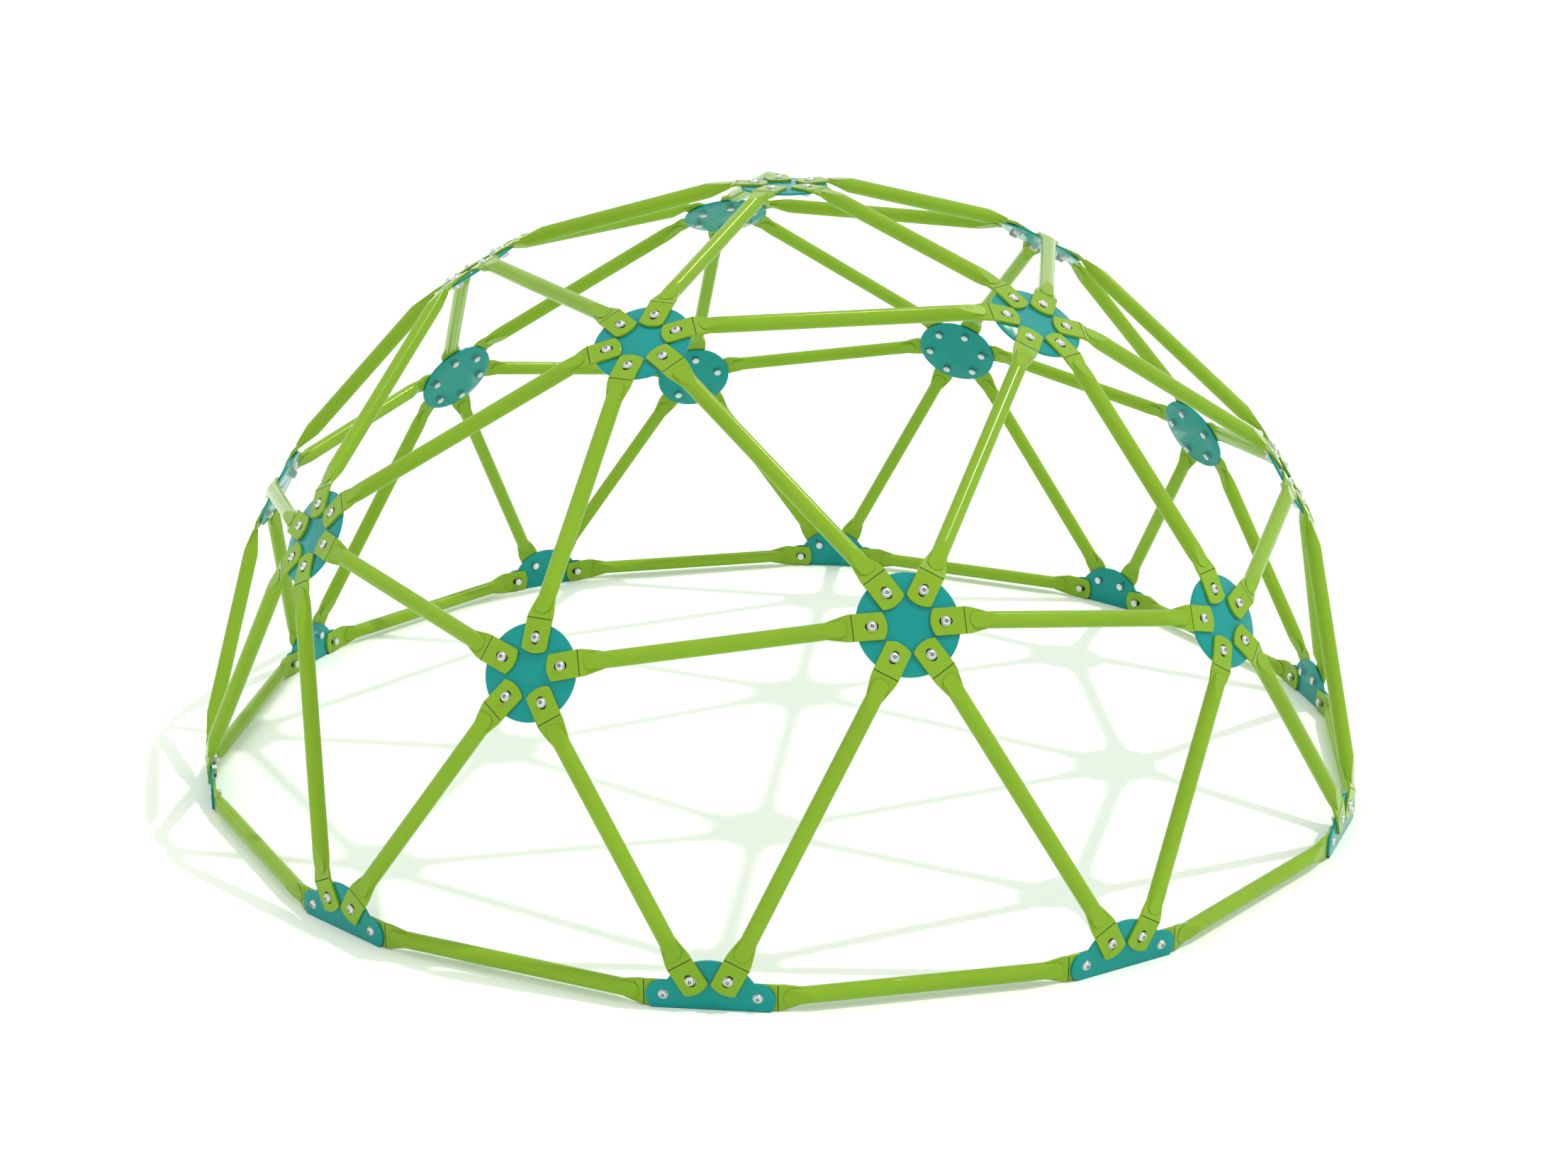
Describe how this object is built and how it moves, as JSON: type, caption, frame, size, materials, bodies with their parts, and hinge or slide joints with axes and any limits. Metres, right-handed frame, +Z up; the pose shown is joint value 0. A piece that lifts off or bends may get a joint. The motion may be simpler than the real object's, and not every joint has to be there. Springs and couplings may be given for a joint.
{
  "type": "dome climber",
  "caption": "Geodesic dome climbing frame of straight green tubes with flattened, bent ends bolted to round teal plates, standing on vertical foot plates.",
  "frame": {"origin": "on the ground at the middle of the dome", "axes": "+Z up through the apex plate; -Y is the side of the ground ring towards the front pair of feet; the dome is mirror-symmetric about the YZ plane"},
  "size_m": [3.027, 2.9626, 1.5135],
  "materials": {
    "struts": "green powder coat, semi-gloss",
    "plates": "teal powder coat, satin",
    "bolts": "stainless steel button heads",
    "nuts": "stainless steel nuts"
  },
  "bodies": {
    "root": {"apex_plate": "plates", "apex_strut_1": "struts", "apex_strut_2": "struts", "apex_strut_3": "struts", "apex_strut_4": "struts", "apex_strut_5": "struts", "five_way_plate_1": "plates", "five_way_plate_2": "plates", "five_way_plate_3": "plates", "five_way_plate_4": "plates", "five_way_plate_5": "plates", "foot_bolts": "bolts", "foot_nuts": "nuts", "foot_plate_1": "plates", "foot_plate_10": "plates", "foot_plate_2": "plates", "foot_plate_3": "plates", "foot_plate_4": "plates", "foot_plate_5": "plates", "foot_plate_6": "plates", "foot_plate_7": "plates", "foot_plate_8": "plates", "foot_plate_9": "plates", "ground_ring_struts_1": "struts", "ground_ring_struts_2": "struts", "ground_ring_struts_3": "struts", "ground_ring_struts_4": "struts", "ground_ring_struts_5": "struts", "hub_bolts": "bolts", "hub_nuts": "nuts", "leg_struts_1": "struts", "leg_struts_2": "struts", "leg_struts_3": "struts", "leg_struts_4": "struts", "leg_struts_5": "struts", "middle_ring_struts_1": "struts", "middle_ring_struts_2": "struts", "middle_ring_struts_3": "struts", "middle_ring_struts_4": "struts", "middle_ring_struts_5": "struts", "six_way_plate_1": "plates", "six_way_plate_2": "plates", "six_way_plate_3": "plates", "six_way_plate_4": "plates", "six_way_plate_5": "plates", "upper_fan_struts_1": "struts", "upper_fan_struts_2": "struts", "upper_fan_struts_3": "struts", "upper_fan_struts_4": "struts", "upper_fan_struts_5": "struts", "upper_plate_1": "plates", "upper_plate_2": "plates", "upper_plate_3": "plates", "upper_plate_4": "plates", "upper_plate_5": "plates", "upper_ring_strut_1": "struts", "upper_ring_strut_2": "struts", "upper_ring_strut_3": "struts", "upper_ring_strut_4": "struts", "upper_ring_strut_5": "struts"}
  },
  "joints": []
}
